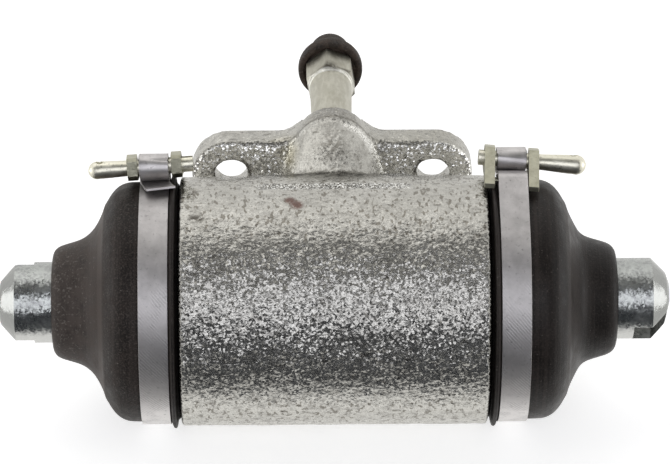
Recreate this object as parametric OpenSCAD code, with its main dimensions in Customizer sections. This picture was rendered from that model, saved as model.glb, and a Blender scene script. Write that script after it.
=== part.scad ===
// Drum brake wheel cylinder with two opposed pistons, in millimetres.
// X runs along the cylinder, Y leaves the mounting face, Z goes up towards the bleed screw side.
// The origin is the mouth of the inlet port, in the middle of the mounting face.

/* [Cylinder] */
// Diameter of the bore that the pistons run in
bore_d = 38.1; // [32:0.1:40]
// Outer diameter of the cast barrel
barrel_d = 53.5; // [52:0.5:60]
// Length of the cast barrel
barrel_l = 65.5; // [60:0.5:80]
// Length of the turned neck beyond each end of the barrel
neck_l = 8.75; // [8.5:0.25:9.5]
// Distance from the barrel to the mounting face
face_gap = 1.75; // [1.25:0.25:7.25]

/* [Flange] */
// Thickness of the mounting flange
flange_t = 5.8; // [4:0.2:6]
// Distance between the two tapped holes
bolt_spacing = 44; // [42:1:52]
// Drop of the tapped holes below the top of the barrel
bolt_drop = 8.75; // [5.75:0.25:9.75]
// Radius of the tapped holes, cut for an M8 thread
bolt_r = 3.5; // [3:0.1:4]
// Radius of each ear round its hole
ear_r = 8.3; // [8:0.1:9.5]

/* [Bleed screw] */
// Drop of the bleed screw below the top of the barrel
bleed_drop = 2.05; // [0.75:0.05:2.75]
// Radius of the boss round the bleed screw
boss_r = 8; // [7.6:0.1:8.6]
// Radius of the tapped bleed bore
bleed_r = 4.5; // [4:0.1:4.6]
// Width of the bleed screw's hexagon across its flats
hex_af = 10; // [9.6:0.1:10.2]
// Distance from the mounting face to the hexagon
shank_l = 20.9; // [16:0.1:26]
// Turn of the hexagon
hex_turn = 9; // [0:1:30]

/* [Pistons] */
// Clearance between a piston and the bore, on the radius
piston_gap = 0.05; // [0.03:0.01:0.08]
// Length of a piston
piston_l = 18.5; // [16:0.5:19]
// Distance that a piston's outer face stands beyond the barrel's end
piston_reach = 0.25; // [-0.25:0.05:1.75]
// Radius of a push rod
rod_r = 8.7; // [8:0.1:9]
// Distance that a push rod's tip stands beyond the barrel's end
rod_reach = 39.25; // [37.25:0.25:43.25]
// Width of the slot for the brake shoe
slot_w = 6.5; // [5:0.1:7.5]
// Depth of the slot for the brake shoe
slot_depth = 7.8; // [6:0.1:8.5]
// Lean of the left slot from upright
left_slot_lean = 31; // [0:1:45]
// Lean of the right slot from upright
right_slot_lean = 54; // [0:1:60]

/* [Boots and clamps] */
// Width of a clamp band
band_w = 6.2; // [5:0.1:6.4]
// Thickness of a clamp band
band_t = 0.5; // [0.4:0.02:0.54]
// Radius of a clamp pin
pin_r = 1.68; // [1.5:0.02:1.75]
// Thickness of each ear of a clamp yoke
yoke_t = 2.2; // [1.6:0.1:2.4]
// Lean of the left clamp behind upright
left_clamp_lean = 13; // [0:1:40]
// Lean of the right clamp behind upright
right_clamp_lean = 20; // [0:1:40]
// Droop of the outer end of the left clamp pin
left_droop = 4; // [0:0.5:5]
// Droop of the outer end of the right clamp pin
right_droop = 5; // [0:0.5:5]

/* [Hidden] */
$fn = 96;
bore_r = bore_d / 2;
barrel_r = barrel_d / 2;
half_barrel = barrel_l / 2;
half_body = half_barrel + neck_l;
axis_to_face = barrel_r + face_gap;
bolt_z = barrel_r - bolt_drop;
bleed_z = barrel_r - bleed_drop;
neck_r = barrel_r - 3.35;
boot_gap = 0.1;
seat_r = barrel_r - 0.95;
band_in = seat_r + 0.05;
band_out = band_in + band_t;
lip_r = barrel_r + 0.55;
clamp_x = half_barrel + 5.3;
piston_r = bore_r - piston_gap;
piston_end = half_barrel + piston_reach;
piston_start = piston_end - piston_l;
rod_tip = half_barrel + rod_reach;
bore_scale = bore_d / 38.1;
hex_scale = hex_af / 10;
pin_scale = pin_r / 1.68;
socket_depth = 9;
socket_r = rod_r + 0.06;
rod_start = piston_end - socket_depth + 0.3;
groove_x = rod_tip - 14.4;
plate_top = bolt_z - 0.2 + ear_r;
ear_x = bolt_spacing / 2 + 0.2;
ear_z = bolt_z - 0.2;
plate_front = axis_to_face - flange_t;
setback = 0.8;
seat_start = 9 * bleed_r / 4.5;
inlet_r = 4.5;
inlet_depth = 7;
drill_r = 1.5;
pin_play = 0.3;
roll_r = pin_r + pin_play + 2 * band_t + 0.07;
pin_at = barrel_r + 3.75;
base_at = pin_at - 2.95;
ear_top = pin_at + 2.65;

// Children in a frame whose X axis is the cylinder axis
module on_axis() translate([0, -axis_to_face, 0]) children();

// Children as they are for the right side, mirrored for the left
module on_side(s) on_axis() mirror([s < 0 ? 1 : 0, 0, 0]) children();

// A solid turned about the X axis, from points of radius and distance along X
module turned(points) rotate([0, 90, 0]) rotate_extrude() polygon(points);

// A cylinder along X between two distances
module bar_x(from, to, r) translate([from, 0, 0]) rotate([0, 90, 0]) cylinder(h = to - from, r = r);

// Children in the bleed screw's frame, with Z leaving the mounting face
module on_bleed() translate([0, 0, bleed_z]) rotate([-90, 0, 0]) children();

// Offsets of a thin strip along a path
function seg_n(a, b) = let (d = b - a) [-d[1], d[0]] / norm(d);
function at_n(p, i) =
  i == 0 ? seg_n(p[0], p[1]) :
  i == len(p) - 1 ? seg_n(p[i - 1], p[i]) :
  let (m = seg_n(p[i - 1], p[i]), n = seg_n(p[i], p[i + 1])) (m + n) / (1 + m * n);
module strip(p, t) polygon(concat(
  [for (i = [0 : len(p) - 1]) p[i] + at_n(p, i) * t / 2],
  [for (i = [len(p) - 1 : -1 : 0]) p[i] - at_n(p, i) * t / 2]));

// Points of an arc about a centre
function arc(c, r, from, to, n) = [for (i = [1 : n]) let (a = from + (to - from) * i / n) c + r * [cos(a), sin(a)]];

// The right half of the flange's outline, seen from the front: the round foot, an ear, a fillet and the hump
function half_flange() =
  let (foot_r = 12,
    ear = [ear_x, ear_z],
    low = atan2(ear_z, ear_x) - acos((foot_r - ear_r) / norm(ear)),
    fillet_r = 6,
    fillet_z = plate_top + fillet_r,
    fillet_x = sqrt(pow(boss_r + fillet_r, 2) - pow(fillet_z - bleed_z, 2)),
    meet = atan2(fillet_z - bleed_z, fillet_x))
  concat(
    [[foot_r * cos(-84), foot_r * sin(-84)]], arc([0, 0], foot_r, -84, low, 5),
    [ear + ear_r * [cos(low), sin(low)]], arc(ear, ear_r, low, 90, 18),
    [[fillet_x, plate_top]], arc([fillet_x, fillet_z], fillet_r, -90, meet - 180, 7),
    arc([0, bleed_z], boss_r, meet, 87, 7));

module flange_outline() {
  half = half_flange();
  polygon(concat(half, [for (i = [len(half) - 1 : -1 : 0]) [-half[i][0], half[i][1]]]));
}

module cylinder_body() color("silver") difference() {
  union() {
    on_axis() bar_x(-half_barrel, half_barrel, barrel_r);
    on_axis() bar_x(-half_body, half_body, neck_r);
    rotate([90, 0, 0]) linear_extrude(flange_t) flange_outline();
    // The boss of the bleed screw, a broad round hill in front of the flange
    intersection() {
      translate([0, -4.5, bleed_z]) rotate_extrude() polygon(boss_r / 8 * [[0, -11.7], [11.9, -11.7], [11.5, -8],
        [10.6, -4.2], [9.2, -0.4], [7.9, 2.5], [6.6, 4.7], [4.5, 6.3], [1.5, 7.2], [0, 7.3]]);
      translate([-20, -axis_to_face, 0]) cube([40, axis_to_face - flange_t / 2, 40]);
    }
    // A low bare pad on the barrel, where such castings carry letters
    intersection() {
      on_axis() bar_x(-16, 16.5, barrel_r + 0.45);
      translate([-20, -axis_to_face + 3.4, 15]) cube([40, 12, 20]);
    }
  }
  on_axis() {
    bar_x(-half_body - 1, half_body + 1, bore_r);
    for (s = [0, 1]) mirror([s, 0, 0]) {
      turned([[0, half_body - 0.8], [bore_r, half_body - 0.8], [bore_r + 1.2, half_body + 0.4], [0, half_body + 0.4]]);
      // The groove that the boot's bead sits in
      turned([[neck_r - 0.9, clamp_x - 1.1], [neck_r + 2, clamp_x - 1.1], [neck_r + 2, clamp_x + 1.1], [neck_r - 0.9, clamp_x + 1.1]]);
    }
  }
  // Tapped holes of the flange
  for (s = [-1, 1]) translate([s * bolt_spacing / 2, 1, bolt_z]) rotate([90, 0, 0]) cylinder(h = flange_t + 2, r = bolt_r);
  // Inlet port with its cone and drilling
  translate([0, 1, 0]) rotate([90, 0, 0]) cylinder(h = inlet_depth + 1, r = inlet_r);
  translate([0, 0.01 - inlet_depth, 0]) rotate([90, 0, 0]) cylinder(h = 1.6, r1 = inlet_r, r2 = drill_r);
  translate([0, 1 - inlet_depth, 0]) rotate([90, 0, 0]) cylinder(h = axis_to_face - bore_r - inlet_depth + 3, r = drill_r);
  // Bleed bore, its seat, the spot face and the drilling to the top of the bore
  on_bleed() {
    translate([0, 0, -setback]) cylinder(h = setback + 10, r = boss_r + 0.02);
    translate([0, 0, -seat_start]) cylinder(h = seat_start + 1, r = bleed_r);
    translate([0, 0, -seat_start - bleed_r + 1.25]) cylinder(h = bleed_r - 1.24, r1 = 1.25, r2 = bleed_r);
  }
  drop = [0.605 * bore_r - axis_to_face + seat_start + 2.2, 0.707 * bore_r - bleed_z];
  translate([0, -seat_start - 2.2, bleed_z]) rotate([atan2(-drop[0], drop[1]), 0, 0]) cylinder(h = norm(drop), r = 1.25);
}

module piston(s) color("gainsboro") on_side(s) difference() {
  turned([[0, piston_start], [piston_r - 0.6, piston_start], [piston_r, piston_start + 0.6],
    [piston_r, piston_end - 0.6], [piston_r - 0.6, piston_end], [0, piston_end]]);
  bar_x(piston_end - socket_depth, piston_end + 1, socket_r);
}

module cup(s) color("dimgray") on_side(s)
  turned([for (p = [[0, -4], [0, -0.05], [19, -0.05], [19, -7.5], [17.4, -7.5], [15.4, -4]])
    [p[0] * piston_r / 19, piston_start + p[1] * bore_scale]]);

module cup_expander(s) color("goldenrod") on_side(s)
  turned([for (p = [[3, -4.85], [3, -4.05], [14.8, -4.05], [16.7, -7.1], [16, -7.4], [14.4, -4.85]])
    [p[0] * piston_r / 19, piston_start + p[1] * bore_scale]]);

// A round wire wound between the two expanders
module return_spring() color("gray") {
  wire = 0.65 * bore_scale;
  coil = 9 * bore_scale;
  half = piston_start - 4.9 * bore_scale - wire;
  turns = 5;
  steps = 90;
  ring = 6;
  points = [for (i = [0 : steps]) for (k = [0 : ring - 1])
    let (a = 360 * turns * i / steps, r = coil + wire * cos(360 * k / ring))
    [-half + 2 * half * i / steps + wire * sin(360 * k / ring), r * cos(a), r * sin(a)]];
  sides = [for (i = [0 : steps - 1]) for (k = [0 : ring - 1])
    let (n = (k + 1) % ring) [i * ring + k, i * ring + n, (i + 1) * ring + n, (i + 1) * ring + k]];
  on_axis() polyhedron(points, concat([[for (k = [ring - 1 : -1 : 0]) k]], sides,
    [[for (k = [0 : ring - 1]) steps * ring + k]]), convexity = 10);
}

module pushrod(s, lean) color("lightsteelblue") on_side(s) difference() {
  turned([[0, rod_start], [rod_r - 1.5, rod_start], [rod_r, rod_start + 1.5], [rod_r, groove_x],
    [rod_r - 1, groove_x], [rod_r - 1, groove_x + 2.6], [rod_r, groove_x + 2.6], [rod_r, rod_tip - 3.8],
    [rod_r - 3.1, rod_tip - 0.7], [rod_r - 4.9, rod_tip], [0, rod_tip]]);
  rotate([-lean, 0, 0]) translate([rod_tip - slot_depth, -slot_w / 2, -20]) cube([20, slot_w, 40]);
}

module boot(s) color("#2a2622") on_side(s) {
  x = half_barrel;
  k = rod_tip - 72;
  // The right boot swells a little further out than the left
  w = s > 0 ? 0.8 : 0;
  turned([[neck_r + boot_gap, x + 0.15], [lip_r - 0.4, x + 0.15], [lip_r, x + 0.55], [lip_r, x + 1.55],
    [lip_r - 0.5, x + 1.95], [seat_r, x + 2], [seat_r, x + 8.95], [seat_r, x + 9.6 + w], [seat_r - 0.1, x + 10.95 + w],
    [seat_r - 0.4, x + 12.05 + w], [seat_r - 1, x + 13.15 + w], [seat_r - 2, x + 14.25 + w], [seat_r - 3.4, x + 15.25 + w],
    [seat_r - 5.5, x + 16.25 + w], [rod_r + 8.9, 50.2 + k + w], [rod_r + 7.2, 51.2 + k + w], [rod_r + 6, 52.3 + k + w / 2],
    [rod_r + 5.1, 53.5 + k], [rod_r + 4.6, 54.5 + k], [rod_r + 4, 56.6 + k], [rod_r + 3.4, 58.8 + k],
    [rod_r + 2.7, 60 + k], [rod_r + 1.9, 60.7 + k], [rod_r + 0.9, 61 + k], [rod_r + 0.15, 61 + k],
    [rod_r + 0.15, groove_x + 2.4], [rod_r - 0.8, groove_x + 2.4], [rod_r - 0.8, groove_x + 0.2],
    [rod_r + 0.15, groove_x + 0.2], [rod_r + 0.8, 56.8 + k], [rod_r + 2.2, 55.4 + k], [rod_r + 2.8, 53.9 + k],
    [rod_r + 3.6, 52.5 + k], [rod_r + 4.7, 51.1 + k + w / 2], [rod_r + 6.5, 49.8 + k + w], [rod_r + 9, 48.6 + k + w],
    [seat_r - 6, x + 14.6 + w], [seat_r - 4.4, x + 13.5 + w], [seat_r - 3.1, x + 12.1 + w], [seat_r - 2.5, x + 10.6 + w],
    [neck_r + boot_gap, x + 9.2], [neck_r + boot_gap, clamp_x + 0.9], [neck_r - 0.75, clamp_x + 0.9],
    [neck_r - 0.75, clamp_x - 0.9], [neck_r + boot_gap, clamp_x - 0.9]]);
}

// Children in a clamp's frame: the clamp leans back and its pin's outer end droops
module on_clamp(s) on_axis() translate([s * clamp_x, 0, 0])
  rotate([s < 0 ? -left_clamp_lean : -right_clamp_lean, 0, 0]) rotate([0, 0, s < 0 ? 180 : 0]) children();
module drooped(s) translate([0, 0, pin_at]) rotate([0, s < 0 ? left_droop : right_droop, 0])
  translate([0, 0, -pin_at]) children();

// Shapes drawn across the clamp, given their width along the pin
module across(w) rotate([90, 0, -90]) linear_extrude(w, center = true) children();

// The band's path: its tail, a fold round the yoke's base, once round the boot, then the roll on the pin
function clamp_path() =
  let (mid = (band_in + band_out) / 2,
    fold = [7.3, base_at - 0.95],
    fold_r = fold[1] - sqrt(mid * mid - fold[0] * fold[0]),
    start = asin(fold[0] / mid),
    clear_r = fold_r + band_t + 0.06,
    lift = atan2(fold[0], fold[1]) + acos((mid - clear_r) / norm(fold)),
    rolled = roll_r - band_t / 2,
    inner = pin_r + pin_play + band_t / 2)
  concat(
    [[-6.2, base_at - 0.1], [-3.2, base_at - 0.72], [0.5, base_at - 0.75], [4.5, fold[1] + fold_r - 0.03]],
    [for (i = [0 : 12]) let (a = 90 - 15 * i) fold + fold_r * [cos(a), sin(a)]],
    [for (i = [1 : 95]) let (a = start - (360 - lift + start) * i / 95) mid * [sin(a), cos(a)]],
    [for (i = [0 : 3]) let (a = lift * (3 - i) / 3) fold + clear_r * [sin(a), cos(a)]],
    [[4.6, fold[1] + clear_r + 0.02]],
    [for (i = [0 : 24]) let (a = -77 - 355 * i / 24, r = rolled + (inner - rolled) * i / 24) [r * cos(a), pin_at + r * sin(a)]],
    [[-0.02, pin_at - pin_r - 0.07], [-0.02, pin_at + pin_r - 0.5]]);

module clamp_band(s) color("slategray") on_clamp(s) across(band_w) strip(clamp_path(), band_t);

module clamp_yoke(s) color("khaki") on_clamp(s) drooped(s) translate([s < 0 ? -0.1 : 0, 0, 0]) {
  gap = band_w + 1;
  for (k = [-1, 1]) translate([k * (gap + yoke_t) / 2, 0, 0]) across(yoke_t) difference() {
    polygon([[9.6, base_at - 1.8], [9.9, base_at - 0.75], [2.8, ear_top - 1.4], [1.2, ear_top], [-1.6, ear_top],
      [-2.3, ear_top - 0.6], [-2.6, pin_at - 1.2], [-1.4, base_at + 0.5], [1.5, base_at + 0.1], [4, base_at - 0.05],
      [5.2, base_at - 0.65], [7.9, base_at - 1.2]]);
    translate([0, pin_at]) circle(r = pin_r + 0.08);
  }
  across(gap + 0.4) translate([5.3, base_at - 0.6]) square([2, 0.42]);
}

// A split pin that swells towards a round head with an eye
module clamp_pin(s) color("khaki") on_clamp(s) drooped(s) translate([s < 0 ? -1.3 : 0, 0, pin_at]) difference() {
  head_r = (s < 0 ? 1.9 : 2.15) * pin_scale;
  head_x = (s < 0 ? 13.5 : 13.95) * pin_scale;
  turned(concat([[0, -7 * pin_scale], [pin_r, -7 * pin_scale], [pin_r, 6.4 * pin_scale]],
    [for (a = [0 : 15 : 90]) [head_r * cos(a), head_x + head_r * sin(a)]]));
  translate([-9, -0.55, -3]) cube([9 + band_w / 2 + (s < 0 ? 1.6 : 0.3), 1.1, 6]);
  translate([head_x - 0.7, 0, -3]) cylinder(h = 6, r = 0.9 * pin_scale, $fn = 48);
}

module bleed_screw() color("darkgray") on_bleed() difference() {
  hex_end = shank_l + 8 * hex_scale;
  union() {
    rotate_extrude() polygon([[0, -seat_start - 2.85], [1.5, -seat_start - 2.85], [bleed_r - 0.05, 0.1 - seat_start],
      [bleed_r - 0.05, -1.4], [bleed_r - 0.2, -1], [bleed_r + 0.15, shank_l - 0.5], [bleed_r + 0.35, shank_l - 0.4],
      [bleed_r + 0.35, shank_l + 0.1], [0, shank_l + 0.1]]);
    intersection() {
      rotate([0, 0, -90 - hex_turn]) translate([0, 0, shank_l]) cylinder(h = 8 * hex_scale, r = hex_af / sqrt(3), $fn = 6);
      rotate_extrude() polygon([[0, shank_l], [hex_af / 2, shank_l], [hex_af / 2 + 1, shank_l + 0.9],
        [hex_af / 2 + 1, hex_end - 0.6], [hex_af / 2, hex_end], [0, hex_end]]);
    }
    translate([0, 0, hex_end]) rotate_extrude() polygon(hex_scale * [[0, -0.1], [2.7, -0.1], [2.7, 2.2], [3.5, 2.8],
      [2.8, 7.6], [0, 7.6]]);
  }
  translate([0, 0, -10]) cylinder(h = hex_end + 20, r = 1);
  translate([0, 0, 3.3 - seat_start]) rotate([0, 90, 0]) cylinder(h = 3 * bleed_r, r = 1);
}

module bleed_cap() color("#1f1c1a") on_bleed() translate([0, 0, shank_l + 7.1 * hex_scale]) difference() {
  union() {
    rotate_extrude() polygon(hex_scale * [[0, 0], [6.9, 0], [7.2, 0.5], [7.2, 3.1], [6.7, 3.9], [5.5, 4.7], [4.8, 5.9],
      [4.6, 8.4], [0, 8.4]]);
    translate([0, 0, 8.3 * hex_scale]) sphere(r = 4.6 * hex_scale);
  }
  translate([0, 0, -1]) cylinder(h = 1 + 0.95 * hex_scale, r = hex_af / sqrt(3) + 0.12);
  cylinder(h = 9.2 * hex_scale, r = 3.6 * hex_scale);
}

cylinder_body();
piston(-1);  // left_piston
piston(1);  // right_piston
cup(-1);  // left_cup
cup(1);  // right_cup
cup_expander(-1);  // left_cup_expander
cup_expander(1);  // right_cup_expander
return_spring();
pushrod(-1, left_slot_lean);  // left_pushrod
pushrod(1, right_slot_lean);  // right_pushrod
boot(-1);  // left_boot
boot(1);  // right_boot
clamp_band(-1);  // left_clamp_band
clamp_band(1);  // right_clamp_band
clamp_yoke(-1);  // left_clamp_yoke
clamp_yoke(1);  // right_clamp_yoke
clamp_pin(-1);  // left_clamp_pin
clamp_pin(1);  // right_clamp_pin
bleed_screw();
bleed_cap();
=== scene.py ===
# %% [markdown]
# A hydraulic wheel cylinder from a drum brake: a rough zinc-plated casting with two pistons in its bore.
# Each piston pushes a slotted rod out through a rubber boot, and a clamp band holds each boot on its neck.
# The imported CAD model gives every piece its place. This lesson dresses it to look like the real one.

# %% Load the frame
import math

import bmesh
import bpy
from mathutils import Matrix, Vector


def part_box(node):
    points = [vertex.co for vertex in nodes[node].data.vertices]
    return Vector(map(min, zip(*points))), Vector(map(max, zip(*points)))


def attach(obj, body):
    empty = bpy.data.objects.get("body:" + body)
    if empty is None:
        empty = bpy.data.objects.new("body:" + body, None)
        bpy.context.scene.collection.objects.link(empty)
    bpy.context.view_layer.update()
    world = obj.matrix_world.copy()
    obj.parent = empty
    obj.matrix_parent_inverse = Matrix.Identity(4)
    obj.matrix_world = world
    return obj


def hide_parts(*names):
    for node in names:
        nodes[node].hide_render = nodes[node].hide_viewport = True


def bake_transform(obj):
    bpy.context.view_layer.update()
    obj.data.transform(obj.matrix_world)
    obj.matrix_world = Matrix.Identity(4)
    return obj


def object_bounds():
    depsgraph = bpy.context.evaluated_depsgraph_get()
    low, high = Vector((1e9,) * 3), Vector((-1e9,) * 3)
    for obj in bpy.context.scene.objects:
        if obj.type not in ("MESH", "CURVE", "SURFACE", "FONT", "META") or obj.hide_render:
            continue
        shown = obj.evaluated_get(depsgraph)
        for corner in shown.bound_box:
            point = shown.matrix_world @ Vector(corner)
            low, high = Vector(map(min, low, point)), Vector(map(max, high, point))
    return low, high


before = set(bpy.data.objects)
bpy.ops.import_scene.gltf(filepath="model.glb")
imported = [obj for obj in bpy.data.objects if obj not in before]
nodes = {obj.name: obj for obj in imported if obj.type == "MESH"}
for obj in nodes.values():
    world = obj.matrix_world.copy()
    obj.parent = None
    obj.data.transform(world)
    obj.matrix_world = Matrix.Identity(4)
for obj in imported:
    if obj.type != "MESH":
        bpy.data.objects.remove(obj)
cad_box = [list(corner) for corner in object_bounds()]
scene = bpy.context.scene
scene.view_settings.view_transform = "Standard"
print("CAD nodes:", len(nodes), "box:", cad_box)

# %% [markdown]
# All the turned pieces share the cylinder's axis, which runs along X.
# Its place could be typed in, but the box of a piston gives it, so the looks follow the CAD.

# %% The cylinder's axis
MM = 0.001
SIDES = {"left": -1, "right": 1}
low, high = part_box("left_piston")
AXIS_Y = (low.y + high.y) / 2
low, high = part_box("bleed_screw")
BLEED_Z = (low.z + high.z) / 2
print("axis at y", round(AXIS_Y, 5), "bleed screw at z", round(BLEED_Z, 5))

# %% [markdown]
# The picture is taken from in front and about 31 degrees above, with a long lens.
# That keeps edges that run away from the camera nearly parallel.
# A camera can be turned by typed angles, but aiming it with a direction vector is easier to read and change.

# %% The camera
CAMERA_DISTANCE = 0.85
CAMERA_TURN = math.radians(-0.75)
CAMERA_LIFT = math.radians(31.5)
aim = Vector((0.4, -20.8, 12.5)) * MM
level = math.cos(CAMERA_LIFT)
back = Vector((math.sin(CAMERA_TURN) * level, -math.cos(CAMERA_TURN) * level, math.sin(CAMERA_LIFT)))
camera = bpy.data.objects.new("camera", bpy.data.cameras.new("camera"))
scene.collection.objects.link(camera)
camera.location = aim + back * CAMERA_DISTANCE
camera.rotation_euler = (-back).to_track_quat("-Z", "Y").to_euler()
camera.data.sensor_width = 36
camera.data.lens = 212.2
camera.data.clip_start = 0.01
scene.camera = camera
print("camera at", tuple(round(v, 3) for v in camera.location))

# %% [markdown]
# The light and every finish below are built from a few node helpers. They work in millimetres on Object
# coordinates, so half a millimetre is the same on every piece, and nothing slides when the view changes.
# The first ones give a place on the piece and a noise there.

# %% Helpers for places and noise
def millimetres(tree, stretch=(1, 1, 1)):
    where = tree.nodes.new("ShaderNodeTexCoord")
    scaled = tree.nodes.new("ShaderNodeMapping")
    scaled.inputs["Scale"].default_value = [s / MM for s in stretch]
    tree.links.new(where.outputs["Object"], scaled.inputs["Vector"])
    return scaled.outputs["Vector"]


def split(tree, place, axis):
    made = tree.nodes.new("ShaderNodeSeparateXYZ")
    tree.links.new(place, made.inputs[0])
    return made.outputs[axis]


def noise(tree, place, scale, detail=2.0, rough=0.5):
    made = tree.nodes.new("ShaderNodeTexNoise")
    made.inputs["Scale"].default_value = scale
    made.inputs["Detail"].default_value = detail
    made.inputs["Roughness"].default_value = rough
    tree.links.new(place, made.inputs["Vector"])
    return made.outputs["Fac"]


print("place helpers ready")

# %% [markdown]
# A mask says how much of something shows at a place, from 0 for none to 1 for all of it.
# Multiplying two masks keeps only what is in both, so a mark can be limited to one side or one band.

# %% Helpers for masks
def spread(tree, value, from_low, from_high, to_low=0.0, to_high=1.0):
    made = tree.nodes.new("ShaderNodeMapRange")
    made.inputs["From Min"].default_value = from_low
    made.inputs["From Max"].default_value = from_high
    made.inputs["To Min"].default_value = to_low
    made.inputs["To Max"].default_value = to_high
    tree.links.new(value, made.inputs["Value"])
    return made.outputs["Result"]


def calc(tree, operation, a, b=0.0):
    made = tree.nodes.new("ShaderNodeMath")
    made.operation = operation
    for socket, value in zip(made.inputs, (a, b)):
        if isinstance(value, (int, float)):
            socket.default_value = value
        else:
            tree.links.new(value, socket)
    return made.outputs["Value"]


def times(tree, first, *others):
    for other in others:
        first = calc(tree, "MULTIPLY", first, other)
    return first


def within(tree, value, rise, fall, share=1.0):
    """A mask that climbs along rise and drops again along fall, read backwards."""
    return times(tree, spread(tree, value, *rise), spread(tree, value, *fall, 0.0, share))


def spot(tree, place, point, inner, outer):
    made = tree.nodes.new("ShaderNodeVectorMath")
    made.operation = "DISTANCE"
    made.inputs[1].default_value = point
    tree.links.new(place, made.inputs[0])
    return spread(tree, made.outputs["Value"], inner, outer, 1.0, 0.0)


def seen_directly(tree):
    """1 for what the camera sees, straight or in a mirror, and 0 for soft light."""
    path = tree.nodes.new("ShaderNodeLightPath")
    seen = calc(tree, "MAXIMUM", path.outputs["Is Camera Ray"], path.outputs["Is Glossy Ray"])
    return calc(tree, "MAXIMUM", seen, path.outputs["Is Transmission Ray"])


print("mask helpers ready")

# %% [markdown]
# A finish starts as one even colour. Further colours are laid over it, each through its own mask.

# %% Helpers for colour
def start_finish(name, metal, rough):
    made = bpy.data.materials.new(name)
    made.use_nodes = True
    shader = made.node_tree.nodes["Principled BSDF"]
    shader.inputs["Metallic"].default_value = metal
    shader.inputs["Roughness"].default_value = rough
    return made, made.node_tree, shader


def mix(tree, share, first, second):
    made = tree.nodes.new("ShaderNodeMix")
    made.data_type = "RGBA"
    tree.links.new(share, made.inputs["Factor"])
    for name, value in (("A", first), ("B", second)):
        socket = [s for s in made.inputs if s.name == name and s.type == "RGBA"][0]
        if isinstance(value, tuple):
            socket.default_value = value + (1.0,)
        else:
            tree.links.new(value, socket)
    return [s for s in made.outputs if s.type == "RGBA"][0]


def blot(tree, place, colour, point, inner, outer, share, paint):
    return mix(tree, times(tree, spot(tree, place, point, inner, outer), share), colour, paint)


print("colour helpers ready")

# %% [markdown]
# The last helpers give relief. Bumps alone give soft dimples.
# Tipping the normal of each small cell its own way gives the hard sparkle of crystals.

# %% Helpers for relief
def raise_surface(tree, shader, height, depth_mm, before=None):
    made = tree.nodes.new("ShaderNodeBump")
    made.inputs["Distance"].default_value = depth_mm * MM
    tree.links.new(height, made.inputs["Height"])
    if before is not None:
        tree.links.new(before, made.inputs["Normal"])
    tree.links.new(made.outputs["Normal"], shader.inputs["Normal"])
    return made.outputs["Normal"]


def vector_step(tree, operation, first, second=None, scale=None):
    made = tree.nodes.new("ShaderNodeVectorMath")
    made.operation = operation
    for socket, value in zip(made.inputs, (first, second)):
        if isinstance(value, tuple):
            socket.default_value = value
        elif value is not None:
            tree.links.new(value, socket)
    if scale is not None:
        tree.links.new(scale, made.inputs["Scale"])
    return made.outputs["Vector"]


def flakes(tree, shader, place, cell_mm, tilt, before):
    cells = tree.nodes.new("ShaderNodeTexVoronoi")
    cells.inputs["Scale"].default_value = 1 / cell_mm
    tree.links.new(place, cells.inputs["Vector"])
    centred = vector_step(tree, "SUBTRACT", cells.outputs["Color"], (0.5, 0.5, 0.5))
    leaning = vector_step(tree, "SCALE", centred, scale=tilt)
    facing = vector_step(tree, "NORMALIZE", vector_step(tree, "ADD", before, leaning))
    tree.links.new(facing, shader.inputs["Normal"])


print("relief helpers ready")

# %% [markdown]
# Shiny metal shows whatever stands round it, and here that is a white tent: white above, below and behind.
# The world is that tent. It is white for the camera and for reflections, and weaker as plain fill light.

# %% The white tent
TENT_FILL = 0.7
world = bpy.data.worlds.new("white_tent")
scene.world = world
world.use_nodes = True
tent = world.node_tree
strength = spread(tent, seen_directly(tent), 0, 1, TENT_FILL, 1.0)
tent.links.new(strength, tent.nodes["Background"].inputs["Strength"])
tent.nodes["Background"].inputs["Color"].default_value = (1.0, 0.995, 0.98, 1.0)
print("world:", world.name)

# %% [markdown]
# The tent is open towards the camera, and that opening is dark. It gives the metal its dark bands.
# Dark and grey cards bent round the front do the same. The camera never sees them, only the metal does.

# %% The dark opening in front
CARD_RADIUS = 1.1


def link_mesh(name, bm):
    mesh = bpy.data.meshes.new(name)
    bm.to_mesh(mesh)
    bm.free()
    made = bpy.data.objects.new(name, mesh)
    scene.collection.objects.link(made)
    return made


def bent_card(name, first, last, colour):
    bm = bmesh.new()
    start = math.radians(first)
    sweep = math.radians(last - first)
    ends = []
    for x in (-1.0, 1.0):
        corner = (x, AXIS_Y - CARD_RADIUS * math.cos(start), CARD_RADIUS * math.sin(start))
        ends.append(bm.verts.new(corner))
    rim = bm.edges.new(ends)
    centre = (0, AXIS_Y, 0)
    bmesh.ops.spin(bm, geom=[rim] + ends, cent=centre, axis=(-1, 0, 0), angle=sweep, steps=20)
    made = link_mesh(name, bm)
    made.visible_camera = False
    cloth, _, shader = start_finish(name, 0.0, 1.0)
    shader.inputs["Base Color"].default_value = colour + (1.0,)
    made.data.materials.append(cloth)


bent_card("dark_card", first=-60, last=60, colour=(0.115, 0.123, 0.14))
bent_card("grey_card", first=60, last=92, colour=(0.3, 0.298, 0.29))
print("cards in front: dark up to 60 degrees, grey to 92")

# %% [markdown]
# A bright panel stood at each side too. Only the cone at the end of each rod and the pin heads show it.

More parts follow.
